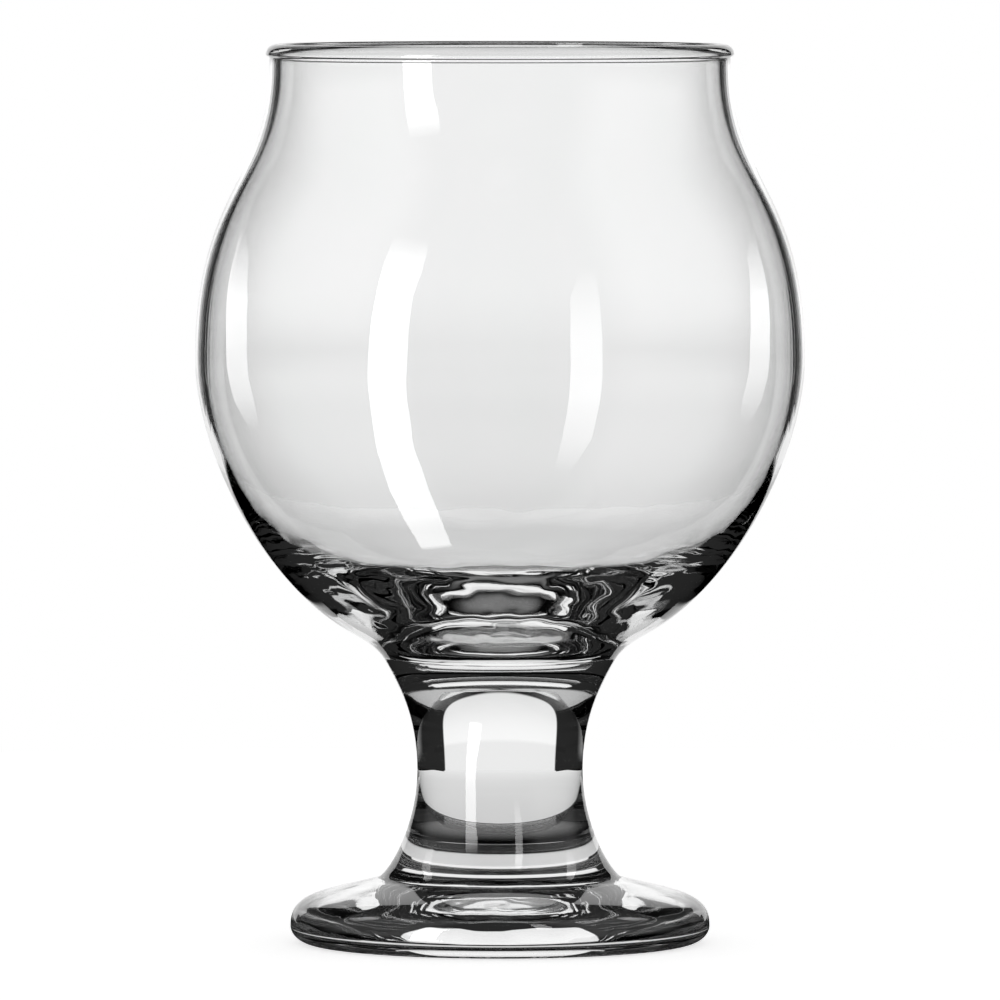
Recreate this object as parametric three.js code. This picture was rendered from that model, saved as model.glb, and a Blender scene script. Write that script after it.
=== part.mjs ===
// Beer taster glass: a short footed globe glass for a tasting measure.
// A blown bowl stands on a pressed stem, and the stem on a pressed foot.
// The three are joined hot, face to face, along two level faces.
// Millimetres, +Z up, origin on the resting plane under the middle of the foot.

import * as THREE from 'three';

// Foot
const FOOT_RADIUS = 23.15;
const FOOT_HEIGHT = 7.3;
const FOOT_EDGE_HEIGHT = 1.9;
const FOOT_TOP_SLOPE = 14.4;
const FOOT_FILLET_WIDTH = 1.3;
const FOOT_FILLET_DROP = 0.45;
const RESTING_RING_INSET = 2.35;
const RESTING_RING_WIDTH = 1.8;
const RECESS_DEPTH = 2;
const RECESS_SLOPE = 14;

// Stem
const STEM_HEIGHT = 23.9;
const STEM_BOTTOM_RADIUS = 13.25;
const STEM_BOTTOM_SLOPE = 40.5;
const STEM_WAIST_RADIUS = 9.14;
const STEM_WAIST_HEIGHT = 11.6;
const STEM_TOP_RADIUS = 12.65;
const STEM_TOP_SLOPE = 61;

// Bowl, outside
const BOWL_HEIGHT = 68;
const BOWL_RADIUS = 33.6;
const BELLY_HEIGHT = 33.3;
const NECK_RADIUS = 25.4;
const NECK_DROP = 2.4;
const ROOT_WIDTH = 3.9;
const ROOT_RISE = 3.2;
const ROOT_SLOPE = 29.4;

// Bowl, rim: a lip that stands out over the neck, and a tighter inner edge
const LIP_WIDTH = 0.4;
const LIP_HEIGHT = 1.15;
const LIP_UNDERSIDE = 0.45;
const INNER_EDGE = 0.3;

// Bowl, wall and cavity: the wall thickens below the turn, over the root
const NECK_WALL = 1.2;
const BELLY_WALL = 1.25;
const BOWL_FLOOR = 2.7;
const TURN_RADIUS = 22;
const TURN_HEIGHT = 11;
const TURN_SLOPE = 29.7;

// How full each curve is: the reach of its handles as a share of its span
const EVEN_REACH = 0.34;
const FLARE_REACH = [0.388, 0.197];
const STEM_TOP_REACH = [0.445, 0.304];
const UNDERSIDE_REACH = [0.335, 0.275];
const SHOULDER_REACH = [0.565, 0.38];
const CAVITY_SIDE_REACH = [0.388, 0.225];
const CAVITY_FLOOR_REACH = [0.73, 0.366];
const FOOT_EDGE_REACH = [0.38, 0.36];
const FOOT_TOP_REACH = [0.59, 0.34];
const RECESS_REACH = [0.3, 0.45];

// Fineness of the faceted surfaces
const SEGMENTS = 64;
const LIP_STEPS = 5;
const INNER_EDGE_STEPS = 3;

// Headings in the half plane of an outline, in degrees from straight outwards
const OUTWARDS = 0;
const UP = 90;
const INWARDS = 180;
const DOWN = 270;

// Levels of the two joints and of the rim
const STEM_BASE = FOOT_HEIGHT;
const BOWL_BASE = STEM_BASE + STEM_HEIGHT;
const RIM_LEVEL = BOWL_BASE + BOWL_HEIGHT;
const BELLY_LEVEL = BOWL_BASE + BELLY_HEIGHT;
const NECK_LEVEL = RIM_LEVEL - NECK_DROP;

const point = (radius, height) => new THREE.Vector2(radius, height);

function heading(degrees, length) {
  const angle = THREE.MathUtils.degToRad(degrees);
  return point(length * Math.cos(angle), length * Math.sin(angle));
}

// A smooth curve that leaves one point and reaches the next on given headings.
function sweep(start, startHeading, end, endHeading, reach, steps) {
  const span = start.distanceTo(end);
  const leaving = start.clone().add(heading(startHeading, span * reach[0]));
  const arriving = end.clone().sub(heading(endHeading, span * reach[1]));
  return new THREE.CubicBezierCurve(start, leaving, arriving, end).getPoints(steps);
}

// The two quarters over a rim, from its outer side over its crest to its inner side.
function roundOver(lip, crest, innerSide) {
  const outside = new THREE.EllipseCurve(crest.x, lip.y, lip.x - crest.x, crest.y - lip.y, 0, Math.PI / 2);
  const inside = new THREE.EllipseCurve(
    crest.x, innerSide.y, crest.x - innerSide.x, crest.y - innerSide.y, Math.PI / 2, Math.PI,
  );
  return [...outside.getPoints(LIP_STEPS), ...inside.getPoints(INNER_EDGE_STEPS)];
}

// One closed body from an outline that starts and ends on the axis.
function revolve(pieces) {
  const outline = [];
  for (const next of pieces.flat()) {
    const last = outline[outline.length - 1];
    if (!last || last.distanceTo(next) > Number.EPSILON * RIM_LEVEL) {
      outline.push(next);
    }
  }
  const geometry = new THREE.LatheGeometry(outline, SEGMENTS);
  geometry.rotateX(Math.PI / 2);
  return geometry;
}

// The foot: a low dome with a rounded edge that stands on a flat ring.
function footGeometry() {
  const edge = point(FOOT_RADIUS, FOOT_EDGE_HEIGHT);
  const ringOutside = point(FOOT_RADIUS - RESTING_RING_INSET, 0);
  const ringInside = point(ringOutside.x - RESTING_RING_WIDTH, 0);
  const joint = point(STEM_BOTTOM_RADIUS, FOOT_HEIGHT);
  const fillet = point(joint.x + FOOT_FILLET_WIDTH, joint.y - FOOT_FILLET_DROP);
  const inAlongTop = INWARDS - FOOT_TOP_SLOPE;
  const upAlongFlare = INWARDS - STEM_BOTTOM_SLOPE;
  return revolve([
    sweep(point(0, RECESS_DEPTH), OUTWARDS, ringInside, -RECESS_SLOPE, RECESS_REACH, 5),
    sweep(ringOutside, OUTWARDS, edge, UP, FOOT_EDGE_REACH, 5),
    sweep(edge, UP, fillet, inAlongTop, [FOOT_TOP_REACH[1], FOOT_TOP_REACH[0]], 8),
    sweep(fillet, inAlongTop, joint, upAlongFlare, [EVEN_REACH, EVEN_REACH], 2),
    point(0, joint.y),
  ]);
}

// The stem: solid, drawn in to a waist below its middle.
function stemGeometry() {
  const bottom = point(STEM_BOTTOM_RADIUS, STEM_BASE);
  const waist = point(STEM_WAIST_RADIUS, STEM_BASE + STEM_WAIST_HEIGHT);
  const top = point(STEM_TOP_RADIUS, BOWL_BASE);
  return revolve([
    point(0, bottom.y),
    sweep(bottom, INWARDS - STEM_BOTTOM_SLOPE, waist, UP, [FLARE_REACH[1], FLARE_REACH[0]], 8),
    sweep(waist, UP, top, STEM_TOP_SLOPE, STEM_TOP_REACH, 7),
    point(0, top.y),
  ]);
}

// The bowl: a globe that narrows to a neck, with a fire-polished lip round its
// rim, and a cavity whose side turns in over the root to a shallow floor.
function bowlGeometry() {
  const joint = point(STEM_TOP_RADIUS, BOWL_BASE);
  const root = point(joint.x + ROOT_WIDTH, joint.y + ROOT_RISE);
  const belly = point(BOWL_RADIUS, BELLY_LEVEL);
  const neck = point(NECK_RADIUS, NECK_LEVEL);
  const lip = point(neck.x + LIP_WIDTH, RIM_LEVEL - LIP_HEIGHT);
  const underLip = point(neck.x, lip.y - LIP_UNDERSIDE);
  const innerNeck = point(neck.x - NECK_WALL, neck.y);
  const innerSide = point(innerNeck.x, RIM_LEVEL - INNER_EDGE);
  const crest = point(innerSide.x + INNER_EDGE, RIM_LEVEL);
  const innerBelly = point(belly.x - BELLY_WALL, belly.y);
  const turn = point(TURN_RADIUS, BOWL_BASE + TURN_HEIGHT);
  const turnHeading = INWARDS + TURN_SLOPE;
  const cavityFloor = point(0, BOWL_BASE + BOWL_FLOOR);
  return revolve([
    point(0, joint.y),
    sweep(joint, STEM_TOP_SLOPE, root, ROOT_SLOPE, [EVEN_REACH, EVEN_REACH], 3),
    sweep(root, ROOT_SLOPE, belly, UP, UNDERSIDE_REACH, 11),
    sweep(belly, UP, neck, UP, SHOULDER_REACH, 12),
    sweep(underLip, UP, lip, UP, [EVEN_REACH, EVEN_REACH], 3),
    roundOver(lip, crest, innerSide),
    sweep(innerNeck, DOWN, innerBelly, DOWN, [SHOULDER_REACH[1], SHOULDER_REACH[0]], 10),
    sweep(innerBelly, DOWN, turn, turnHeading, CAVITY_SIDE_REACH, 7),
    sweep(turn, turnHeading, cavityFloor, INWARDS, CAVITY_FLOOR_REACH, 5),
  ]);
}

function piece(name, geometry) {
  const glass = new THREE.MeshStandardMaterial({
    color: 0xeef3f2,
    roughness: 0.02,
    metalness: 0,
    transparent: true,
    opacity: 0.35,
  });
  const mesh = new THREE.Mesh(geometry, glass);
  mesh.name = name;
  return mesh;
}

const taster = new THREE.Group();
taster.add(piece('foot', footGeometry()));
taster.add(piece('stem', stemGeometry()));
taster.add(piece('bowl', bowlGeometry()));

export default taster;
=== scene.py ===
import math

import bmesh
import bpy
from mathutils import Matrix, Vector
from mathutils.geometry import interpolate_bezier


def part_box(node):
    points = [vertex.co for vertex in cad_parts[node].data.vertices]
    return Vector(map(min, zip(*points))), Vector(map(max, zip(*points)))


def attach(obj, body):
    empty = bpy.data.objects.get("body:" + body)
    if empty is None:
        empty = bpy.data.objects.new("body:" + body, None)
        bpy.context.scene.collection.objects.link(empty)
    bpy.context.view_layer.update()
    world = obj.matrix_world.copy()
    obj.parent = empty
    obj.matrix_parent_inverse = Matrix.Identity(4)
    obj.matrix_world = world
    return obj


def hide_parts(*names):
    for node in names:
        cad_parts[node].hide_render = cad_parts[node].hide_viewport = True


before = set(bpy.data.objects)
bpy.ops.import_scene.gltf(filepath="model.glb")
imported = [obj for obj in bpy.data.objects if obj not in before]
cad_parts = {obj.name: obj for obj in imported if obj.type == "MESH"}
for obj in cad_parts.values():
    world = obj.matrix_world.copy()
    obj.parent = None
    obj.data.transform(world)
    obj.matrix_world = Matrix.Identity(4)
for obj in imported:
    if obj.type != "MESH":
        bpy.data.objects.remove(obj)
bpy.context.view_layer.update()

bl_info = {
    "name": "Beer Taster Glass",
    "version": (1, 0, 0),
    "blender": (4, 5, 0),
    "location": "View3D > Sidebar > Taster",
    "description": "Builds a short footed globe glass and the small studio it stands in",
    "category": "Add Mesh",
}

BOWL_LOW, BOWL_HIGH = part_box("bowl")
STEM_LOW, STEM_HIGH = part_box("stem")
FOOT_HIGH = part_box("foot")[1]

BODY = "root"
MM = 0.001

# Points nearer than this are one, in metres
TOUCHING = 1e-7

# Headings in the half plane of an outline, in degrees from straight outwards
OUTWARDS = 0.0
UP = 90.0
INWARDS = 180.0
DOWN = 270.0

# How full each curve is: the reach of its handles as a share of its span
EVEN_REACH = (0.34, 0.34)
FLARE_REACH = (0.197, 0.388)
STEM_TOP_REACH = (0.445, 0.304)
UNDERSIDE_REACH = (0.335, 0.275)
SHOULDER_REACH = (0.565, 0.38)
CAVITY_SIDE_REACH = (0.388, 0.225)
CAVITY_FLOOR_REACH = (0.73, 0.366)
FOOT_EDGE_REACH = (0.38, 0.36)
FOOT_TOP_REACH = (0.34, 0.59)
RECESS_REACH = (0.3, 0.45)

# Fineness of the outlines: the steps round the rim, the fewest points of a curve, and how many
# times shorter its faces are on the stem's and the foot's side, at a joint and under the lip
LIP_STEPS = 10
INNER_EDGE_STEPS = 6
FEWEST_POINTS = 3
SIDE_FINENESS = 2
JOINT_FINENESS = 3
LIP_FINENESS = 6

# The grid that is bent round the axis, and the mark from which a face counts as fused
GRID_SIZE = 1.0
FUSED_FROM = 0.99

# Where the mould parted, and the slow waves in the glass: they end at this many turn heights
# above the joint in the cavity, and grow this fast inwards from the resting ring in the recess
SEAM_TURN = math.radians(-131)
WAVE_SCALE = 300.0
WAVE_SEED = 4.0
WAVE_DETAIL = 1.0
CAVITY_WAVES_END = 2.0
RECESS_WAVES_GROWTH = 4.0
NOISE_MIDDLE = 0.5

# The glass's surface: streaks drawn out upwards, fine ripples, and wear on the resting ring
STREAK_STRETCH = (1.0, 1.0, 0.25)
STREAK_SCALE = 90.0
STREAK_DETAIL = 3.0
STREAK_FADE = (0.45, 0.75)
RIPPLE_SCALE = 150.0
RIPPLE_DETAIL = 1.0
WEAR_FADE = (0.10 * MM, 0.45 * MM)
RUB_SCALE = 1400.0
RUB_DETAIL = 4.0
RUB_FADE = (0.35, 0.65)
RUB_LEAST = 0.25

# How near and how far the camera sees, in metres
VIEW_FROM = 0.01
VIEW_TO = 20.0

# The most fused faces that light crosses for each turn that it takes in the glass
FUSED_CROSSINGS = 2

# Light is told apart by whole numbers, how often it was mirrored in the glass and how many
# surfaces it passed, so the limits lie half a step from them
HALF_STEP = 0.5
BOWL_SURFACES = 4.0

# The backdrop as the glass sees it, in degrees from straight ahead and from level: how far it
# reaches, how square and how soft its corners are, and its level in the middle, low down and high up
BACKDROP_AHEAD = 31.0
BACKDROP_TOP = 33.0
BACKDROP_SQUARENESS = 6.0
BACKDROP_SOFTNESS = 0.12
BACKDROP_LEVEL = 1.03
LOW_DIM = 0.93
LOW_FADE = (-8.0, -2.0)
HIGH_DIM = 0.85
HIGH_FADE = (6.0, 33.0)

# The rest of the room by the same angles, each edge a soft step between two of them: light from
# both sides, a high window at each side, pale walls at eye level, and a little light everywhere
SIDE_FROM = (55.0, 85.0)
SIDE_TO = (120.0, 150.0)
SIDE_LOW = (-2.0, 8.0)
SIDE_LEVEL = 0.6
WINDOW_FROM = (56.0, 60.0)
WINDOW_TO = (80.0, 84.0)
WINDOW_LOW = (14.0, 18.0)
WINDOW_HIGH = (38.0, 42.0)
WINDOW_LEVEL = 0.9
WALL_FROM = (56.0, 64.0)
WALL_LOW = (-14.0, -10.0)
WALL_HIGH = (6.0, 10.0)
WALL_LEVEL = 0.95
DARK_ROOM = 0.022

# The room's soft light on the table
SOFT_LIGHT = 0.5

# The table, in metres: its edge and level, its paint, and its glow to the glass and to the camera
# To the glass, the paint and the glow carry the painted light and shade set below
TABLE_BEHIND = 0.300
TABLE_IN_FRONT = 0.450
TABLE_STEPS = 64
TABLE_LEVEL = -0.05 * MM
TABLE_PAINT = 0.8
GLASS_GLOW = 0.6
CAMERA_GLOW = 0.68

# Painted light on the table as the glass sees it, in metres: straight through the glass, all but the sides
# further back than this are painted lit, and where the glass also mirrors, only a strip behind the foot
DARK_SIDES_FROM = 0.040
LIT_HALF_WIDTH = 0.205
MIRRORED_HALF_WIDTH = 0.046
MIRRORED_FROM = 0.070
EDGE_SOFTNESS = 0.004

# Painted light and shade on the table as the glass sees it, by the distance from its axis: a faint
# painted glow under the stem, a painted shadow under the foot's edge, and painted shade that lightens
# further out
CENTRE_INSIDE = 5 * MM
CENTRE_OUTSIDE = 13 * MM
PAINTED_GLOW_LEVEL = 0.30
SHADE_INSIDE = 20 * MM
SHADE_OUTSIDE = 28 * MM
DIM_OUTSIDE = 320 * MM
DIM_LEVEL = 0.73
FAR_LEVEL = 0.878

# The backdrop's foot behind the table, a shade darker to the glass, in metres: painted shade from a faint
# black sheet that only the glass sees
BACKDROP_FOOT_BEHIND = 0.302
BACKDROP_FOOT_HALF_WIDTH = 0.250
BACKDROP_FOOT_LOW = -0.020
BACKDROP_FOOT_FADE = (0.050, 0.063)
BACKDROP_FOOT_SHADE = 0.115

# Nearly black cards beside the view, in metres: inner and outer edge, distance behind the glass,
# lower and upper edge
CARDS = (
    ("upper", 0.067, 0.103, 0.112, 0.045, 0.170),
    ("lower", 0.130, 0.190, 0.220, 0.001, 0.036),
)

# Strip lights that only the glass mirrors, by sections from end to end: the turn of the left and
# of the right edge in degrees, distance from the axis and height in mm, and brightness
STRIPS = {
    "main": (
        (-127.6, -112.2, 46.5, 0, 0.0),
        (-128.4, -113.2, 48.3, 0, 1.0),
        (-131.4, -115.3, 60.5, 0, 1.0),
        (-134.5, -118.3, 78, 0, 1.0),
        (-136.5, -121.8, 112, 0, 1.0),
        (-138.0, -123.5, 232, 0, 1.0),
        (-137.6, -122.9, 270, 64, 1.0),
        (-136.3, -122.0, 270, 140, 1.0),
        (-136.0, -120.0, 270, 180, 0.95),
        (-135.6, -119.3, 270, 226, 0.3),
        (-135.4, -120.7, 270, 256, 0.0),
    ),
    "small": (
        (-72.2, -67.0, 60, 25.5, 0.0),
        (-71.5, -62.4, 60, 39, 0.45),
        (-71.0, -62.0, 60, 53, 0.75),
        (-71.0, -62.0, 60, 69, 0.72),
        (-70.5, -62.0, 60, 79.5, 0.26),
        (-65.7, -62.0, 60, 89, 0.0),
    ),
    "left_edge": (
        (176.0, 182.0, 70, 41.4, 0.0),
        (171.0, 183.5, 70, 51, 0.34),
        (168.5, 182.2, 70, 67.5, 0.56),
        (165.5, 180.3, 70, 76.5, 0.56),
        (162.6, 174.0, 70, 87.5, 0.2),
        (159.0, 165.0, 70, 93.5, 0.0),
    ),
    "right_edge": (
        (-3.7, 2.0, 70, 43, 0.0),
        (-5.7, 6.0, 70, 50.5, 0.22),
        (-3.9, 8.5, 70, 67.5, 0.56),
        (-1.5, 10.7, 70, 76.5, 0.56),
        (3.7, 12.9, 70, 88.5, 0.17),
        (10.6, 16.3, 70, 93.5, 0.0),
    ),
}
STRIP_STEPS = 4
STRIP_LIFT = 0.3 * MM

WHITE = (1.0, 1.0, 1.0, 1.0)
BLACK = (0.0, 0.0, 0.0, 1.0)


# Sizes that a user would change

def length(name, description, default):
    """A size in metres."""
    return bpy.props.FloatProperty(
        name=name, description=description, default=default, unit="LENGTH", subtype="DISTANCE", precision=5
    )


def slope(name, description, degrees):
    """An angle, given in degrees and kept in radians."""
    return bpy.props.FloatProperty(
        name=name, description=description, default=math.radians(degrees), unit="ROTATION", subtype="ANGLE"
    )


def factor(name, description, default, top=1.0):
    """A plain number from nought up."""
    return bpy.props.FloatProperty(name=name, description=description, default=default, min=0.0, max=top)


class TasterBowlSettings(bpy.types.PropertyGroup):
    """Sizes of the bowl, its rim, its wall and its cavity"""
    radius: length("Radius", "Outer radius of the bowl at its widest line", BOWL_HIGH.x)
    belly_height: length("Belly height", "Widest line above the joint with the stem", 33.3 * MM)
    neck_radius: length("Neck radius", "Outer radius of the neck under the rim", 25.4 * MM)
    neck_drop: length("Neck drop", "Narrowest line of the neck below the rim", 2.4 * MM)
    neck_wall: length("Neck wall", "Thickness of the glass at the neck", 1.2 * MM)
    belly_wall: length("Belly wall", "Thickness of the glass at the widest line", 1.25 * MM)
    lip_width: length("Lip width", "How far the fire-polished lip stands out over the neck", 0.4 * MM)
    lip_height: length("Lip height", "Height of the lip's rounding above its outermost line", 1.15 * MM)
    lip_underside: length("Lip underside", "Height of the turn from the neck out to the lip", 0.45 * MM)
    inner_edge: length("Inner edge", "Radius of the tighter rounding on the rim's inner side", 0.3 * MM)
    turn_radius: length("Turn radius", "Radius where the cavity's side turns into its floor", 22.0 * MM)
    turn_height: length("Turn height", "That line above the joint with the stem", 11.0 * MM)
    turn_slope: slope("Turn slope", "Slope of the cavity's side at that line", 29.7)
    floor: length("Bowl floor", "Thickness of the glass between the cavity and the stem", 2.7 * MM)
    root_width: length("Root width", "Radial width of the turn from bowl to stem", 3.9 * MM)
    root_rise: length("Root rise", "Height of the turn from bowl to stem", 3.2 * MM)
    root_slope: slope("Root slope", "Slope of the bowl's underside where it turns into the stem", 29.4)
    unevenness: length("Unevenness", "Height of the waves in the cavity's floor", 0.12 * MM)


class TasterStemSettings(bpy.types.PropertyGroup):
    """Sizes of the stem and its mould seams"""
    top_radius: length("Top radius", "Radius of the joint with the bowl", 12.65 * MM)
    top_slope: slope("Top slope", "Slope of the stem's side at the bowl", 61.0)
    waist_radius: length("Waist radius", "Radius of the stem at its narrowest", 9.14 * MM)
    waist_height: length("Waist height", "Narrowest line above the joint with the foot", 11.6 * MM)
    bottom_radius: length("Bottom radius", "Radius of the joint with the foot", 13.25 * MM)
    bottom_slope: slope("Bottom slope", "Slope of the stem's side at the foot", 40.5)
    seams: bpy.props.IntProperty(
        name="Mould seams", description="Number of fine ridges left by the mould", default=2, min=0
    )
    seam_height: length("Seam height", "Height of a mould seam", 0.02 * MM)
    seam_width: length("Seam width", "Width of a mould seam", 0.6 * MM)


class TasterFootSettings(bpy.types.PropertyGroup):
    """Sizes of the foot, its resting ring and its recess"""
    edge_height: length("Edge height", "Height of the foot's widest line", 1.9 * MM)
    top_slope: slope("Top slope", "Slope of the foot's top beside the stem", 14.4)
    fillet_width: length("Fillet width", "Radial width of the turn from stem to foot", 1.3 * MM)
    fillet_drop: length("Fillet drop", "Height of the turn from stem to foot", 0.45 * MM)
    ring_inset: length("Ring inset", "Resting ring's outer edge inside the foot's widest line", 2.35 * MM)
    ring_width: length("Ring width", "Width of the flat ring that the foot stands on", 1.8 * MM)
    recess_depth: length("Recess depth", "Depth of the shallow hollow under the foot", 2.0 * MM)
    recess_slope: slope("Recess slope", "Slope of the hollow at the resting ring", 14.0)
    unevenness: length("Unevenness", "Height of the waves in the hollow under the foot", 0.08 * MM)


class TasterGlassSettings(bpy.types.PropertyGroup):
    """Finish of the glass and fineness of its surface"""
    tint: bpy.props.FloatVectorProperty(
        name="Tint", description="Colour that light takes at each surface", subtype="COLOR",
        size=3, default=(0.997, 0.998, 0.998), min=0.0, max=1.0,
    )
    streak_tint: bpy.props.FloatVectorProperty(
        name="Streak tint", description="The same in the melt's slightly greener streaks", subtype="COLOR",
        size=3, default=(0.988, 0.994, 0.991), min=0.0, max=1.0,
    )
    ripple: length("Ripple", "Height of the faint ripples in the fire-polished surface", 0.004 * MM)
    wear: factor("Wear", "Roughness of the resting ring, worn on tables", 0.32)
    ior: factor("Index", "Refractive index of soda-lime glass", 1.52, top=3.0)
    segments: bpy.props.IntProperty(name="Segments", description="Faces round the axis", default=192, min=32)
    step: length("Step", "Length of a face along the outline", 0.3 * MM)


class TasterStudioSettings(bpy.types.PropertyGroup):
    """Camera, strip lights and light paths"""
    camera_distance: length("Camera distance", "Camera from the glass's axis", 1.323)
    camera_height: length("Camera height", "Camera above the table", 0.116)
    frame_height: length("Frame height", "Height of the picture at the glass", 110.3 * MM)
    aim_height: length("Aim height", "Point on the axis at the middle of the picture", 48.9 * MM)
    strip_level: factor("Strip level", "Brightness of the strip lights to the glass", 6.5, top=20.0)
    bounces: bpy.props.IntProperty(
        name="Bounces", description="How many times light is followed on in the glass", default=24
    )


# Outlines in the half plane of radius and height

def heading(degrees, reach):
    """The way of this length along a heading."""
    return Vector((math.cos(math.radians(degrees)), math.sin(math.radians(degrees)))) * reach


def sweep(start, start_heading, end, end_heading, reach, step):
    """A smooth curve that leaves one point and reaches the next on given headings."""
    span = (end - start).length
    leaving = start + heading(start_heading, span * reach[0])
    arriving = end - heading(end_heading, span * reach[1])
    count = max(FEWEST_POINTS, math.ceil(span / step) + 1)
    return interpolate_bezier(start, leaving, arriving, end, count)


def quarter(centre, reach, rise, first, count):
    """A quarter of an ellipse about a centre, from one of its four ends to the next."""
    turns = (first + math.pi / 2 * i / count for i in range(count + 1))
    return [centre + Vector((reach * math.cos(turn), rise * math.sin(turn))) for turn in turns]


def round_over(lip, crest, inner_side):
    """The two quarters over the rim, from its outer side over its crest to its inner side."""
    outside, inside = Vector((crest.x, lip.y)), Vector((crest.x, inner_side.y))
    return [
        *quarter(outside, lip.x - crest.x, crest.y - lip.y, 0.0, LIP_STEPS),
        *quarter(inside, crest.x - inner_side.x, crest.y - inner_side.y, math.pi / 2, INNER_EDGE_STEPS),
    ]


def joined(*stretches):
    """One outline without doubled points."""
    outline = []
    for stretch in stretches:
        for point in stretch:
            if not outline or (point - outline[-1]).length > TOUCHING:
                outline.append(point)
    return outline


def bowl_outline(bowl, stem, step):
    """From the joint up the outside, over the rim and down the cavity to the axis."""
    joint = Vector((stem.top_radius, BOWL_LOW.z))
    root = joint + Vector((bowl.root_width, bowl.root_rise))
    belly = Vector((bowl.radius, BOWL_LOW.z + bowl.belly_height))
    neck = Vector((bowl.neck_radius, BOWL_HIGH.z - bowl.neck_drop))
    lip = Vector((neck.x + bowl.lip_width, BOWL_HIGH.z - bowl.lip_height))
    under_lip = Vector((neck.x, lip.y - bowl.lip_underside))
    inner_neck = neck - Vector((bowl.neck_wall, 0))
    inner_side = Vector((inner_neck.x, BOWL_HIGH.z - bowl.inner_edge))
    crest = inner_side + Vector((bowl.inner_edge, bowl.inner_edge))
    inner_belly = belly - Vector((bowl.belly_wall, 0))
    turn = Vector((bowl.turn_radius, BOWL_LOW.z + bowl.turn_height))
    cavity_floor = Vector((0, BOWL_LOW.z + bowl.floor))
    top_slope, root_slope = math.degrees(stem.top_slope), math.degrees(bowl.root_slope)
    in_along_side = INWARDS + math.degrees(bowl.turn_slope)
    return joined(
        [Vector((0, joint.y)), joint],
        sweep(joint, top_slope, root, root_slope, EVEN_REACH, step / JOINT_FINENESS),
        sweep(root, root_slope, belly, UP, UNDERSIDE_REACH, step),
        sweep(belly, UP, neck, UP, SHOULDER_REACH, step),
        sweep(under_lip, UP, lip, UP, EVEN_REACH, step / LIP_FINENESS),
        round_over(lip, crest, inner_side),
        sweep(inner_neck, DOWN, inner_belly, DOWN, SHOULDER_REACH[::-1], step),
        sweep(inner_belly, DOWN, turn, in_along_side, CAVITY_SIDE_REACH, step),
        sweep(turn, in_along_side, cavity_floor, INWARDS, CAVITY_FLOOR_REACH, step),
    )


def stem_outline(stem, step):
    """From the joint with the foot up to the joint with the bowl."""
    bottom = Vector((stem.bottom_radius, STEM_LOW.z))
    waist = Vector((stem.waist_radius, STEM_LOW.z + stem.waist_height))
    top = Vector((stem.top_radius, STEM_HIGH.z))
    in_along_flare = INWARDS - math.degrees(stem.bottom_slope)
    side_step = step / SIDE_FINENESS
    return joined(
        [Vector((0, bottom.y)), bottom],
        sweep(bottom, in_along_flare, waist, UP, FLARE_REACH, side_step),
        sweep(waist, UP, top, math.degrees(stem.top_slope), STEM_TOP_REACH, side_step),
        [Vector((0, top.y))],
    )


def foot_outline(foot, stem, step):
    """From the recess over the resting ring, the edge and the top to the joint with the stem."""
    edge = Vector((FOOT_HIGH.x, foot.edge_height))
    ring_outside = Vector((edge.x - foot.ring_inset, 0))
    ring_inside = ring_outside - Vector((foot.ring_width, 0))
    joint = Vector((stem.bottom_radius, FOOT_HIGH.z))
    fillet = joint + Vector((foot.fillet_width, -foot.fillet_drop))
    down_to_ring = -math.degrees(foot.recess_slope)
    along_top = INWARDS - math.degrees(foot.top_slope)
    along_flare = INWARDS - math.degrees(stem.bottom_slope)
    return joined(
        sweep(Vector((0, foot.recess_depth)), OUTWARDS, ring_inside, down_to_ring, RECESS_REACH, step),
        sweep(ring_outside, OUTWARDS, edge, UP, FOOT_EDGE_REACH, step / SIDE_FINENESS),
        sweep(edge, UP, fillet, along_top, FOOT_TOP_REACH, step),
        sweep(fillet, along_top, joint, along_flare, EVEN_REACH, step / JOINT_FINENESS),
        [Vector((0, joint.y))],
    )


# Building nodes

def add_node(tree, kind, **settings):
    """A new node with its settings."""
    node = tree.nodes.new(kind)
    for key, value in settings.items():
        setattr(node, key, value)
    return node


def put(tree, value, socket):
    """Sets a socket to a plain value or links another socket to it."""
    if isinstance(value, bpy.types.NodeSocket):
        tree.links.new(value, socket)
    else:
        socket.default_value = value


def maths(tree, operation, *values):
    """The result of one sum on plain values or sockets."""
    node = add_node(tree, "ShaderNodeMath", operation=operation)
    for value, socket in zip(values, node.inputs):
        put(tree, value, socket)
    return node.outputs[0]


def rest_of(tree, share):
    """One minus a share."""
    return maths(tree, "SUBTRACT", 1.0, share)


def product(tree, first, *others):
    """Several values multiplied."""
    for other in others:
        first = maths(tree, "MULTIPLY", first, other)
    return first


def brightest(tree, first, *others):
    """The highest of several values."""
    for other in others:
        first = maths(tree, "MAXIMUM", first, other)
    return first


def mapped(tree, value, low, high, to_low, to_high):
    """A soft step from one value to another between two limits."""
    node = add_node(tree, "ShaderNodeMapRange", interpolation_type="SMOOTHSTEP")
    ends = {"From Min": low, "From Max": high, "To Min": to_low, "To Max": to_high}
    for key, entry in {"Value": value, **ends}.items():
        put(tree, entry, node.inputs[key])
    return node.outputs["Result"]


def band(tree, value, rising, falling):
    """One between a soft step up and a soft step down, and nought outside them."""
    up = mapped(tree, value, *rising, 0.0, 1.0)
    return maths(tree, "MULTIPLY", up, mapped(tree, value, *falling, 1.0, 0.0))


def parts_of(tree, vector):
    """The X, Y and Z of a vector."""
    node = add_node(tree, "ShaderNodeSeparateXYZ")
    put(tree, vector, node.inputs[0])
    return node.outputs


def named_number(tree, name):
    """A number kept at every point under this name."""
    node = add_node(tree, "GeometryNodeInputNamedAttribute", data_type="FLOAT")
    put(tree, name, node.inputs["Name"])
    return node.outputs["Attribute"]


# The node tree that turns an outline into a body

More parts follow.
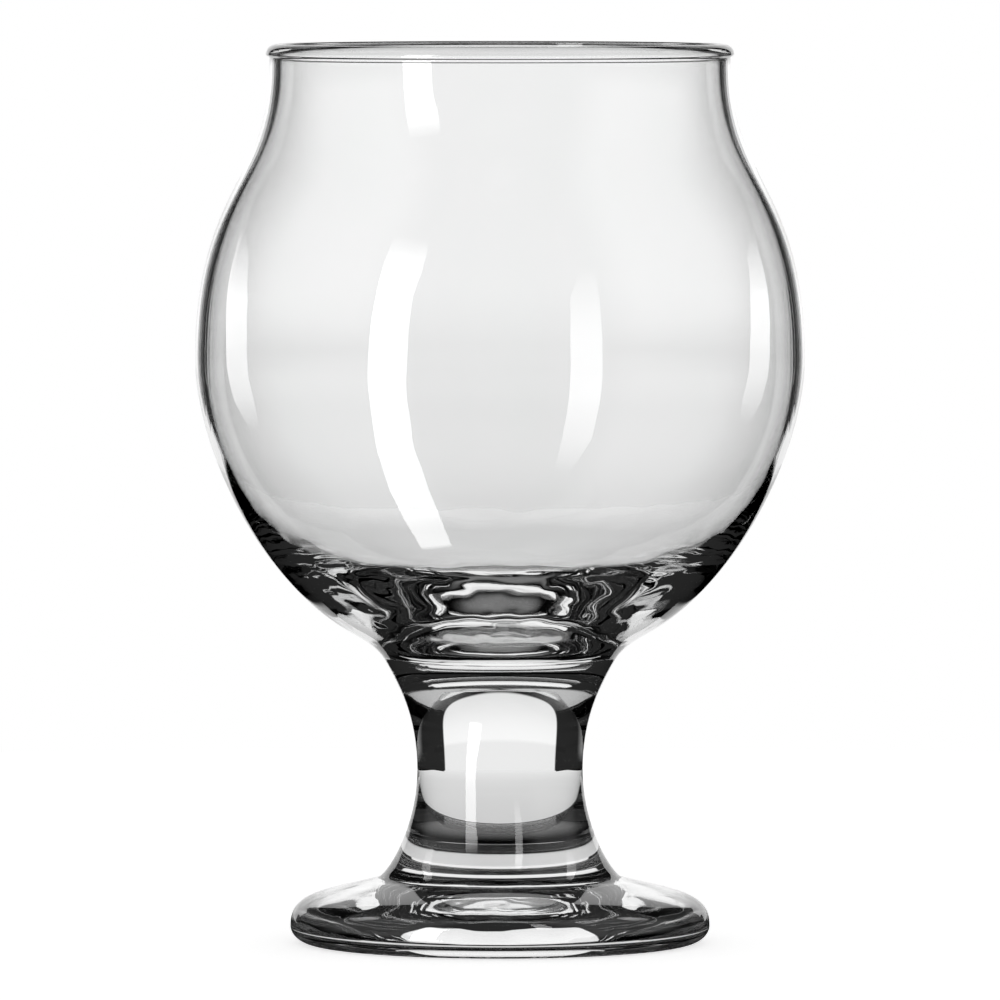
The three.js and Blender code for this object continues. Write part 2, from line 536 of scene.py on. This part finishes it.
def passed(tree, body, kind, values, **settings):
    """The body after one more node, whose other inputs have these values."""
    node = add_node(tree, kind, **settings)
    for key, value in {"Geometry": body, **values}.items():
        put(tree, value, node.inputs[key])
    return node.outputs["Geometry"]


def seam_ridge(tree, inputs, turn, radius):
    """How far a seam stands out: a low ridge, one minus the square of the way across it."""
    spacing = maths(tree, "DIVIDE", math.tau, maths(tree, "MAXIMUM", inputs["Seams"], 1))
    half = maths(tree, "DIVIDE", spacing, 2)
    from_seam = maths(tree, "SUBTRACT", turn, SEAM_TURN)
    offset = maths(tree, "WRAP", from_seam, half, maths(tree, "MULTIPLY", half, -1))
    half_width = maths(tree, "DIVIDE", inputs["Seam Width"], 2)
    across = maths(tree, "DIVIDE", maths(tree, "MULTIPLY", offset, radius), half_width)
    rounded = maths(tree, "MAXIMUM", rest_of(tree, maths(tree, "MULTIPLY", across, across)), 0.0)
    return maths(tree, "MULTIPLY", rounded, inputs["Seam Height"])


def with_waves(tree, inputs, body):
    """The body with slow waves, as high at each point as its share of them."""
    noise = add_node(tree, "ShaderNodeTexNoise", noise_dimensions="4D")
    put(tree, inputs["Wave Seed"], noise.inputs["W"])
    put(tree, inputs["Wave Scale"], noise.inputs["Scale"])
    put(tree, WAVE_DETAIL, noise.inputs["Detail"])
    about_nought = maths(tree, "SUBTRACT", noise.outputs["Fac"], NOISE_MIDDLE)
    lift = add_node(tree, "ShaderNodeVectorMath", operation="SCALE")
    put(tree, add_node(tree, "GeometryNodeInputNormal").outputs[0], lift.inputs[0])
    swell = product(tree, about_nought, inputs["Wave Height"], named_number(tree, "wave_share"))
    put(tree, swell, lift.inputs["Scale"])
    return passed(tree, body, "GeometryNodeSetPosition", {"Offset": lift.outputs[0]})


def in_materials(tree, inputs, body):
    """The body in smooth glass, with the joint's own material on its fused faces."""
    is_fused = add_node(tree, "FunctionNodeCompare", data_type="FLOAT", operation="GREATER_THAN")
    put(tree, named_number(tree, "fused"), is_fused.inputs[0])
    put(tree, FUSED_FROM, is_fused.inputs[1])
    body = passed(tree, body, "GeometryNodeSetShadeSmooth", {})
    body = passed(tree, body, "GeometryNodeRealizeInstances", {})
    body = passed(tree, body, "GeometryNodeSetMaterial", {"Material": inputs["Glass"]})
    at_joint = {"Selection": is_fused.outputs[0], "Material": inputs["Fused Face"]}
    return passed(tree, body, "GeometryNodeSetMaterial", at_joint)


def turned_tree():
    """Turns the outline about the upright axis, raises the mould seams and adds slow waves."""
    tree = bpy.data.node_groups.new("Turned glass", "GeometryNodeTree")
    new = tree.interface.new_socket
    new("Outline", in_out="INPUT", socket_type="NodeSocketGeometry")
    for name, kind in (
        ("Points", "Int"), ("Segments", "Int"), ("Seams", "Int"),
        ("Seam Height", "Float"), ("Seam Width", "Float"),
        ("Wave Height", "Float"), ("Wave Scale", "Float"), ("Wave Seed", "Float"),
        ("Glass", "Material"), ("Fused Face", "Material"),
    ):
        new(name, in_out="INPUT", socket_type="NodeSocket" + kind)
    new("Body", in_out="OUTPUT", socket_type="NodeSocketGeometry")
    inputs = add_node(tree, "NodeGroupInput").outputs
    outlet = add_node(tree, "NodeGroupOutput").inputs["Body"]

    grid = add_node(tree, "GeometryNodeMeshGrid")
    put(tree, GRID_SIZE, grid.inputs["Size X"])
    put(tree, GRID_SIZE, grid.inputs["Size Y"])
    put(tree, maths(tree, "ADD", inputs["Segments"], 1), grid.inputs["Vertices X"])
    put(tree, inputs["Points"], grid.inputs["Vertices Y"])

    place = parts_of(tree, add_node(tree, "GeometryNodeInputPosition").outputs[0])
    across_grid, up_grid = (maths(tree, "ADD", place[axis], GRID_SIZE / 2) for axis in "XY")
    turn = maths(tree, "MULTIPLY", across_grid, math.tau)
    last = maths(tree, "SUBTRACT", inputs["Points"], 1)
    along = maths(tree, "ROUND", maths(tree, "MULTIPLY", up_grid, last))

    def from_outline(kind, value):
        """What the outline has at this height of the grid."""
        sample = add_node(tree, "GeometryNodeSampleIndex", data_type=kind)
        put(tree, inputs["Outline"], sample.inputs["Geometry"])
        put(tree, value, sample.inputs["Value"])
        put(tree, along, sample.inputs["Index"])
        return sample.outputs["Value"]

    outline_place = add_node(tree, "GeometryNodeInputPosition").outputs[0]
    outline_parts = parts_of(tree, from_outline("FLOAT_VECTOR", outline_place))
    radius = outline_parts["X"]
    seam_share = from_outline("FLOAT", named_number(tree, "seam_share"))
    raised = maths(tree, "MULTIPLY", seam_ridge(tree, inputs, turn, radius), seam_share)
    full_radius = maths(tree, "ADD", radius, raised)
    turned = add_node(tree, "ShaderNodeCombineXYZ")
    put(tree, maths(tree, "MULTIPLY", full_radius, maths(tree, "COSINE", turn)), turned.inputs["X"])
    put(tree, maths(tree, "MULTIPLY", full_radius, maths(tree, "SINE", turn)), turned.inputs["Y"])
    put(tree, outline_parts["Z"], turned.inputs["Z"])

    body = grid.outputs["Mesh"]
    for name in ("wave_share", "fused"):
        kept = {"Name": name, "Value": from_outline("FLOAT", named_number(tree, name))}
        body = passed(tree, body, "GeometryNodeStoreNamedAttribute", kept, data_type="FLOAT", domain="POINT")
    body = passed(tree, body, "GeometryNodeSetPosition", {"Position": turned.outputs[0]})
    body = passed(tree, body, "GeometryNodeMergeByDistance", {"Distance": TOUCHING})
    put(tree, in_materials(tree, inputs, with_waves(tree, inputs, body)), outlet)
    return tree


def outline_object(name, outline, shares):
    """An open chain of points in the XZ plane, with a share of each effect at every point."""
    mesh = bpy.data.meshes.new(name)
    corners = [(point.x, 0.0, point.y) for point in outline]
    mesh.from_pydata(corners, [(i, i + 1) for i in range(len(corners) - 1)], [])
    for key, values in shares.items():
        mesh.attributes.new(key, "FLOAT", "POINT").data.foreach_set("value", values)
    made = bpy.data.objects.new(name, mesh)
    bpy.context.scene.collection.objects.link(made)
    return made


def turned_body(name, outline, shares, values):
    """One closed glass body, made by the node tree and kept as a plain mesh."""
    chain = outline_object(name + "_outline", outline, shares)
    tree = bpy.data.node_groups.get("Turned glass") or turned_tree()
    modifier = chain.modifiers.new("Turn", "NODES")
    modifier.node_group = tree
    sockets = {item.name: item.identifier for item in tree.interface.items_tree if item.in_out == "INPUT"}
    common = {
        "Points": len(outline), "Segments": bpy.context.scene.taster_glass.segments,
        "Wave Scale": WAVE_SCALE, "Wave Seed": WAVE_SEED,
        "Glass": clear_glass(), "Fused Face": fused_face(),
    }
    for key, value in {**common, **values}.items():
        modifier[sockets[key]] = value
    depsgraph = bpy.context.evaluated_depsgraph_get()
    mesh = bpy.data.meshes.new_from_object(chain.evaluated_get(depsgraph))
    chain.modifiers.remove(modifier)
    bpy.data.objects.remove(chain)
    mesh.name = name
    sharpen_joints(mesh)
    body = bpy.data.objects.new(name, mesh)
    bpy.context.scene.collection.objects.link(body)
    return body


def sharpen_joints(mesh):
    """Faces out, and a crisp edge round each fused face, so that the sides keep their own shading."""
    work = bmesh.new()
    work.from_mesh(mesh)
    bmesh.ops.recalc_face_normals(work, faces=work.faces)
    for edge in work.edges:
        edge.smooth = len({face.material_index for face in edge.link_faces}) == 1
    work.to_mesh(mesh)
    work.free()


# Materials

def new_material(name):
    """A new material with its tree and its shader."""
    made = bpy.data.materials.new(name)
    made.use_nodes = True
    return made, made.node_tree, made.node_tree.nodes["Principled BSDF"].inputs


def noise_at(tree, place, scale, detail):
    """Smooth random values from nought to one."""
    node = add_node(tree, "ShaderNodeTexNoise")
    put(tree, place, node.inputs["Vector"])
    put(tree, scale, node.inputs["Scale"])
    put(tree, detail, node.inputs["Detail"])
    return node.outputs["Fac"]


def blended(tree, share, first, second):
    """A colour between two others."""
    node = add_node(tree, "ShaderNodeMix", data_type="RGBA")
    sockets = {socket.identifier: socket for socket in node.inputs}
    mixed = {"Factor_Float": share, "A_Color": (*first, 1.0), "B_Color": (*second, 1.0)}
    for key, value in mixed.items():
        put(tree, value, sockets[key])
    return next(socket for socket in node.outputs if socket.identifier == "Result_Color")


def surface_group():
    """Streaks in the melt, ripples left by fire polishing, and wear where the glass rests."""
    tree = bpy.data.node_groups.new("Glass surface", "ShaderNodeTree")
    tree.interface.new_socket("Place", in_out="INPUT", socket_type="NodeSocketVector")
    for name in ("Streaks", "Ripples", "Wear"):
        tree.interface.new_socket(name, in_out="OUTPUT", socket_type="NodeSocketFloat")
    place = add_node(tree, "NodeGroupInput").outputs["Place"]
    outlet = add_node(tree, "NodeGroupOutput").inputs

    drawn_out = add_node(tree, "ShaderNodeVectorMath", operation="MULTIPLY")
    put(tree, place, drawn_out.inputs[0])
    put(tree, STREAK_STRETCH, drawn_out.inputs[1])
    streaks = noise_at(tree, drawn_out.outputs[0], STREAK_SCALE, STREAK_DETAIL)
    put(tree, mapped(tree, streaks, *STREAK_FADE, 0.0, 1.0), outlet["Streaks"])
    put(tree, noise_at(tree, place, RIPPLE_SCALE, RIPPLE_DETAIL), outlet["Ripples"])

    low = mapped(tree, parts_of(tree, place)["Z"], *WEAR_FADE, 1.0, 0.0)
    rubbed = mapped(tree, noise_at(tree, place, RUB_SCALE, RUB_DETAIL), *RUB_FADE, RUB_LEAST, 1.0)
    put(tree, maths(tree, "MULTIPLY", low, rubbed), outlet["Wear"])
    return tree


def clear_glass():
    """Fire-polished soda-lime glass with faint streaks and ripples and a worn resting ring."""
    made = bpy.data.materials.get("Clear glass")
    if made:
        return made
    finish = bpy.context.scene.taster_glass
    made, tree, shader = new_material("Clear glass")
    surface = add_node(tree, "ShaderNodeGroup", node_tree=surface_group())
    put(tree, add_node(tree, "ShaderNodeTexCoord").outputs["Object"], surface.inputs["Place"])
    tint = blended(tree, surface.outputs["Streaks"], finish.tint, finish.streak_tint)
    put(tree, tint, shader["Base Color"])
    put(tree, maths(tree, "MULTIPLY", surface.outputs["Wear"], finish.wear), shader["Roughness"])
    ripples = add_node(tree, "ShaderNodeBump")
    put(tree, surface.outputs["Ripples"], ripples.inputs["Height"])
    put(tree, finish.ripple, ripples.inputs["Distance"])
    put(tree, ripples.outputs["Normal"], shader["Normal"])
    put(tree, finish.ior, shader["IOR"])
    put(tree, 1.0, shader["Transmission Weight"])
    return made


def fused_face():
    """Glass that runs on without a surface, where two hot parts were joined."""
    made = bpy.data.materials.get("Fused face")
    if made:
        return made
    made, tree, shader = new_material("Fused face")
    put(tree, 0.0, shader["Alpha"])
    return made


# Operators, one for each piece and one for the stage

def joint_marks(outline, *levels):
    """One at the points of the level faces where two parts are fused, and nought elsewhere."""
    return [1.0 if any(abs(point.y - level) < TOUCHING for level in levels) else 0.0 for point in outline]


def clamped(value):
    """A value kept between nought and one."""
    return max(0.0, min(1.0, value))


def cavity_marks(outline, turn_height):
    """One on the cavity's floor, fading out up its side."""
    top = max(range(len(outline)), key=lambda i: outline[i].y)
    rises = [(point.y - BOWL_LOW.z) / turn_height for point in outline]
    return [clamped(CAVITY_WAVES_END - rise) if i > top else 0.0 for i, rise in enumerate(rises)]


def recess_marks(outline, foot):
    """One in the hollow under the foot, fading out before the resting ring."""
    ring_inside = FOOT_HIGH.x - foot.ring_inset - foot.ring_width
    ring_start = min(range(len(outline)), key=lambda i: (outline[i].y, outline[i].x))
    room_left = [1.0 - point.x / ring_inside for point in outline]
    growth = [clamped(RECESS_WAVES_GROWTH * room) for room in room_left]
    return [share if i < ring_start else 0.0 for i, share in enumerate(growth)]


def hand_over(body, node):
    """A piece takes the place of its CAD node."""
    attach(body, BODY)
    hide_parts(node)


class TASTER_OT_bowl(bpy.types.Operator):
    """Build the globe bowl with its lipped rim and thick floor"""
    bl_idname = "taster.bowl"
    bl_label = "Bowl"

    def execute(self, context):
        bowl = context.scene.taster_bowl
        outline = bowl_outline(bowl, context.scene.taster_stem, context.scene.taster_glass.step)
        shares = {
            "wave_share": cavity_marks(outline, bowl.turn_height),
            "fused": joint_marks(outline, BOWL_LOW.z),
        }
        hand_over(turned_body("bowl_glass", outline, shares, {"Wave Height": bowl.unevenness}), "bowl")
        return {"FINISHED"}


class TASTER_OT_stem(bpy.types.Operator):
    """Build the solid waisted stem with its mould seams"""
    bl_idname = "taster.stem"
    bl_label = "Stem"

    def execute(self, context):
        stem = context.scene.taster_stem
        outline = stem_outline(stem, context.scene.taster_glass.step)
        marks = joint_marks(outline, STEM_LOW.z, STEM_HIGH.z)
        shares = {"seam_share": [1.0 - mark for mark in marks], "fused": marks}
        seams = {"Seams": stem.seams, "Seam Height": stem.seam_height, "Seam Width": stem.seam_width}
        hand_over(turned_body("stem_glass", outline, shares, seams), "stem")
        return {"FINISHED"}


class TASTER_OT_foot(bpy.types.Operator):
    """Build the domed foot with its resting ring and recess"""
    bl_idname = "taster.foot"
    bl_label = "Foot"

    def execute(self, context):
        foot = context.scene.taster_foot
        outline = foot_outline(foot, context.scene.taster_stem, context.scene.taster_glass.step)
        shares = {"wave_share": recess_marks(outline, foot), "fused": joint_marks(outline, FOOT_HIGH.z)}
        hand_over(turned_body("foot_glass", outline, shares, {"Wave Height": foot.unevenness}), "foot")
        return {"FINISHED"}


class TASTER_OT_studio(bpy.types.Operator):
    """Set up the camera, the table, the lights and the backdrop"""
    bl_idname = "taster.studio"
    bl_label = "Studio"

    def execute(self, context):
        studio = context.scene.taster_studio
        context.scene.view_settings.view_transform = "Standard"
        cycles = context.scene.cycles
        cycles.max_bounces = cycles.transmission_bounces = cycles.glossy_bounces = studio.bounces
        cycles.transparent_max_bounces = FUSED_CROSSINGS * studio.bounces
        add_camera(studio)
        add_backdrop()
        add_table()
        add_backdrop_foot()
        add_cards()
        add_strips(studio)
        return {"FINISHED"}


def add_camera(studio):
    """The photograph's view, from a little above the rim."""
    data = bpy.data.cameras.new("Camera")
    camera = bpy.data.objects.new("Camera", data)
    bpy.context.scene.collection.objects.link(camera)
    camera.location = (0.0, -studio.camera_distance, studio.camera_height)
    aim = Vector((0.0, 0.0, studio.aim_height))
    sight = aim - camera.location
    camera.rotation_mode = "QUATERNION"
    camera.rotation_quaternion = sight.to_track_quat("-Z", "Y")
    data.lens = data.sensor_width * sight.length / studio.frame_height
    data.clip_start, data.clip_end = VIEW_FROM, VIEW_TO
    bpy.context.scene.camera = camera


def in_glass_rays(tree, path):
    """One for light that the glass mirrors or lets through."""
    return maths(tree, "MAXIMUM", path.outputs["Is Glossy Ray"], path.outputs["Is Transmission Ray"])


def unmirrored(tree, path):
    """One for light that the glass let through without mirroring it inside."""
    return maths(tree, "LESS_THAN", path.outputs["Glossy Depth"], HALF_STEP)


def mirrored_once(tree, path):
    """One for light that the glass mirrored once at the most."""
    return maths(tree, "LESS_THAN", path.outputs["Glossy Depth"], 1 + HALF_STEP)


def through_bowl(tree, path):
    """One for light that passed straight through the bowl's near and far wall."""
    both_walls = maths(tree, "COMPARE", path.outputs["Transmission Depth"], BOWL_SURFACES, HALF_STEP)
    return maths(tree, "MULTIPLY", both_walls, unmirrored(tree, path))


def backdrop_light(tree, aside, rise):
    """The bright backdrop with its rounded corners, a shade darker low down and high up."""
    wide = maths(tree, "POWER", maths(tree, "DIVIDE", aside, BACKDROP_AHEAD), BACKDROP_SQUARENESS)
    above = maths(tree, "DIVIDE", maths(tree, "MAXIMUM", rise, 0.0), BACKDROP_TOP)
    edge = maths(tree, "ADD", wide, maths(tree, "POWER", above, BACKDROP_SQUARENESS))
    ahead = mapped(tree, edge, 1.0 - BACKDROP_SOFTNESS, 1.0 + BACKDROP_SOFTNESS, 1.0, 0.0)
    low = mapped(tree, rise, *LOW_FADE, LOW_DIM, BACKDROP_LEVEL)
    return product(tree, ahead, low, mapped(tree, rise, *HIGH_FADE, 1.0, HIGH_DIM))


def side_light(tree, path, aside, rise):
    """Light from both sides, which shows where the glass mirrors once at the most."""
    beside = band(tree, aside, SIDE_FROM, SIDE_TO)
    return product(tree, beside, mirrored_once(tree, path), mapped(tree, rise, *SIDE_LOW, 0.0, SIDE_LEVEL))


def window_light(tree, path, aside, rise):
    """A high window at each side, which shows where the thick glass mirrors more than once."""
    often = rest_of(tree, mirrored_once(tree, path))
    across, upright = band(tree, aside, WINDOW_FROM, WINDOW_TO), band(tree, rise, WINDOW_LOW, WINDOW_HIGH)
    return product(tree, across, upright, often, WINDOW_LEVEL)


def wall_light(tree, path, aside, rise):
    """Pale walls at eye level round the rest of the room, which show straight through the bowl."""
    beyond = mapped(tree, aside, *WALL_FROM, 0.0, WALL_LEVEL)
    return product(tree, beyond, band(tree, rise, WALL_LOW, WALL_HIGH), through_bowl(tree, path))


def add_backdrop():
    """White to the camera, a room with a bright backdrop to the glass, soft light to the table."""
    world = bpy.data.worlds.new("Studio")
    bpy.context.scene.world = world
    world.use_nodes = True
    tree = world.node_tree
    path = add_node(tree, "ShaderNodeLightPath")
    sight = parts_of(tree, add_node(tree, "ShaderNodeTexCoord").outputs["Generated"])
    aside = maths(tree, "ABSOLUTE", maths(tree, "DEGREES", maths(tree, "ARCTAN2", sight["X"], sight["Y"])))
    rise = maths(tree, "DEGREES", maths(tree, "ARCSINE", sight["Z"]))

    seen = in_glass_rays(tree, path)
    bright = brightest(
        tree, backdrop_light(tree, aside, rise), side_light(tree, path, aside, rise),
        window_light(tree, path, aside, rise), wall_light(tree, path, aside, rise), DARK_ROOM,
    )
    to_glass = maths(tree, "MULTIPLY", bright, seen)
    to_camera = path.outputs["Is Camera Ray"]
    others = rest_of(tree, maths(tree, "MAXIMUM", seen, to_camera))
    to_table = maths(tree, "MULTIPLY", others, SOFT_LIGHT)
    level = maths(tree, "ADD", maths(tree, "ADD", to_glass, to_camera), to_table)
    background = tree.nodes["Background"].inputs
    put(tree, level, background["Strength"])
    put(tree, WHITE, background["Color"])


def stage_object(name, corners, faces, material, levels=()):
    """A plain mesh of the stage, with a brightness at each corner where it is given."""
    mesh = bpy.data.meshes.new(name)
    mesh.from_pydata(corners, [], faces)
    mesh.materials.append(material)
    if levels:
        mesh.attributes.new("level", "FLOAT", "POINT").data.foreach_set("value", levels)
    made = bpy.data.objects.new(name, mesh)
    bpy.context.scene.collection.objects.link(made)
    return made


def hide_from_all_but_glass(made):
    """Neither the camera nor the table sees it, and it casts no shadow."""
    made.visible_camera = False
    made.visible_diffuse = False
    made.visible_shadow = False


def within(tree, value, edge):
    """One inside an edge and nought outside it, with a soft step between."""
    return mapped(tree, value, edge, edge + EDGE_SOFTNESS, 1.0, 0.0)


def painted_table_light(tree, path):
    """The painted light and shade on the table, as bright as the glass sees it at each place."""
    place = parts_of(tree, add_node(tree, "ShaderNodeTexCoord").outputs["Object"])
    aside, behind = maths(tree, "ABSOLUTE", place["X"]), place["Y"]
    squares = [maths(tree, "MULTIPLY", side, side) for side in (aside, behind)]
    away = maths(tree, "SQRT", maths(tree, "ADD", *squares))
    # Painted shadow under the foot's edge, and painted shade that lightens further out
    shade = mapped(tree, away, SHADE_INSIDE, SHADE_OUTSIDE, 0.0, 1.0)
    dim = mapped(tree, away, SHADE_OUTSIDE, DIM_OUTSIDE, DIM_LEVEL, FAR_LEVEL)
    # A faint painted glow under the stem
    centre = mapped(tree, away, CENTRE_INSIDE, CENTRE_OUTSIDE, PAINTED_GLOW_LEVEL, 0.0)

    # Painted light: the lit parts of the table, straight through the glass and where it mirrors
    all_but_sides = maths(
        tree, "MAXIMUM", within(tree, behind, DARK_SIDES_FROM), within(tree, aside, LIT_HALF_WIDTH)
    )
    past_foot = rest_of(tree, within(tree, behind, MIRRORED_FROM))
    strip = maths(tree, "MULTIPLY", within(tree, aside, MIRRORED_HALF_WIDTH), past_foot)
    straight = unmirrored(tree, path)
    mirrored = maths(tree, "MULTIPLY", rest_of(tree, straight), strip)
    lit = maths(tree, "ADD", maths(tree, "MULTIPLY", straight, all_but_sides), mirrored)
    return maths(tree, "ADD", product(tree, shade, dim, lit), centre)


def table_material():
    """Matt and pale, with a glow of its own to the camera and to the glass; to the glass, its paint and glow
    carry painted light and shade.
    """
    made, tree, shader = new_material("Pale table")
    path = add_node(tree, "ShaderNodeLightPath")
    seen = in_glass_rays(tree, path)
    # Painted light and shade, which only the glass sees
    to_glass = maths(tree, "MULTIPLY", painted_table_light(tree, path), seen)
    paint = maths(tree, "MULTIPLY", maths(tree, "ADD", to_glass, rest_of(tree, seen)), TABLE_PAINT)
    grey = add_node(tree, "ShaderNodeCombineColor")
    for channel in grey.inputs:
        put(tree, paint, channel)
    put(tree, grey.outputs[0], shader["Base Color"])
    put(tree, 1.0, shader["Roughness"])
    put(tree, 0.0, shader["Specular IOR Level"])
    put(tree, WHITE, shader["Emission Color"])
    to_camera = maths(tree, "MULTIPLY", path.outputs["Is Camera Ray"], CAMERA_GLOW)
    glow = maths(tree, "ADD", maths(tree, "MULTIPLY", to_glass, GLASS_GLOW), to_camera)
    put(tree, glow, shader["Emission Strength"])
    return made


def add_table():
    """A table of two half rounds, which reaches further in front than behind."""
    half = [math.pi * i / TABLE_STEPS for i in range(TABLE_STEPS + 1)]
    ring = [
        (reach * math.cos(turn), side * reach * math.sin(turn), TABLE_LEVEL)
        for reach, side, turns in ((TABLE_BEHIND, 1, half), (TABLE_IN_FRONT, -1, half[::-1]))
        for turn in turns
    ]
    stage_object("Table", ring, [list(range(len(ring)))], table_material())


def glowing_material(name, level):
    """Black but for an even glow of its own."""
    made, tree, shader = new_material(name)
    put(tree, BLACK, shader["Base Color"])
    put(tree, 0.0, shader["Specular IOR Level"])
    put(tree, WHITE, shader["Emission Color"])
    put(tree, level, shader["Emission Strength"])
    return made, tree, shader


def upright_sheet(sides, behind, levels):
    """The four corners of a sheet that stands square to the view."""
    (first, last), (low, high) = sides, levels
    return [(first, behind, low), (last, behind, low), (last, behind, high), (first, behind, high)]


def add_backdrop_foot():
    """Painted shade: a faint black sheet at the foot of the backdrop, which the glass sees a shade darker
    than the rest.
    """
    made, tree, shader = glowing_material("Backdrop foot shade", 0.0)
    height = parts_of(tree, add_node(tree, "ShaderNodeTexCoord").outputs["Object"])["Z"]
    put(tree, mapped(tree, height, *BACKDROP_FOOT_FADE, BACKDROP_FOOT_SHADE, 0.0), shader["Alpha"])
    sides = (-BACKDROP_FOOT_HALF_WIDTH, BACKDROP_FOOT_HALF_WIDTH)
    corners = upright_sheet(sides, BACKDROP_FOOT_BEHIND, (BACKDROP_FOOT_LOW, BACKDROP_FOOT_FADE[1]))
    hide_from_all_but_glass(stage_object("Backdrop_foot_shade", corners, [(0, 1, 2, 3)], made))


def add_cards():
    """Cards beside the view, which draw the dark lines inside the bowl's edge."""
    made = glowing_material("Black card", DARK_ROOM)[0]
    for name, inner, outer, behind, low, high in CARDS:
        for hand, side in (("right", 1), ("left", -1)):
            corners = upright_sheet((side * inner, side * outer), behind, (low, high))
            hide_from_all_but_glass(stage_object(f"Card_{name}_{hand}", corners, [(0, 1, 2, 3)], made))


def strip_material(studio):
    """Light that only the outer surface mirrors, fading out where the level does."""
    made, tree, shader = glowing_material("Strip light", studio.strip_level)
    path = add_node(tree, "ShaderNodeLightPath")
    first = maths(tree, "LESS_THAN", path.outputs["Ray Depth"], 1 + HALF_STEP)
    mirrored = maths(tree, "MULTIPLY", first, rest_of(tree, path.outputs["Is Transmission Ray"]))
    level = add_node(tree, "ShaderNodeAttribute", attribute_name="level").outputs["Fac"]
    put(tree, maths(tree, "MULTIPLY", level, mirrored), shader["Alpha"])
    return made


def strip_sections(driving):
    """The driving sections with evenly blended ones between them."""
    shares = [step / STRIP_STEPS for step in range(STRIP_STEPS)]
    between = [
        [low + (high - low) * share for low, high in zip(section, following)]
        for section, following in zip(driving, driving[1:]) for share in shares
    ]
    return [*between, driving[-1]]


def add_strips(studio):
    """The strip lights, each a narrow sheet that stands or lies round the glass."""
    made = strip_material(studio)
    for name, driving in STRIPS.items():
        corners, levels = [], []
        for left, right, reach, height, level in strip_sections(driving):
            for turn in (math.radians(left), math.radians(right)):
                x, y = reach * MM * math.cos(turn), reach * MM * math.sin(turn)
                corners.append((x, y, height * MM + STRIP_LIFT))
                levels.append(level)
        faces = [(i, i + 1, i + 3, i + 2) for i in range(0, len(corners) - 2, 2)]
        hide_from_all_but_glass(stage_object("Strip_" + name, corners, faces, made, levels))


class TASTER_PT_panel(bpy.types.Panel):
    """One button for each operator"""
    bl_label = "Beer taster glass"
    bl_idname = "TASTER_PT_panel"
    bl_space_type = "VIEW_3D"
    bl_region_type = "UI"
    bl_category = "Taster"

    def draw(self, context):
        for operator in OPERATORS:
            self.layout.operator(operator.bl_idname)


SETTINGS = {
    "taster_bowl": TasterBowlSettings,
    "taster_stem": TasterStemSettings,
    "taster_foot": TasterFootSettings,
    "taster_glass": TasterGlassSettings,
    "taster_studio": TasterStudioSettings,
}
OPERATORS = (TASTER_OT_studio, TASTER_OT_bowl, TASTER_OT_stem, TASTER_OT_foot)


def register():
    for kind in (*SETTINGS.values(), *OPERATORS, TASTER_PT_panel):
        bpy.utils.register_class(kind)
    for name, kind in SETTINGS.items():
        setattr(bpy.types.Scene, name, bpy.props.PointerProperty(type=kind))


def unregister():
    for name in SETTINGS:
        delattr(bpy.types.Scene, name)
    for kind in (TASTER_PT_panel, *reversed(OPERATORS), *reversed(SETTINGS.values())):
        bpy.utils.unregister_class(kind)


def main():
    """Builds the studio and the glass."""
    register()
    bpy.ops.taster.studio()
    bpy.ops.taster.bowl()
    bpy.ops.taster.stem()
    bpy.ops.taster.foot()


if __name__ == "__main__":
    main()
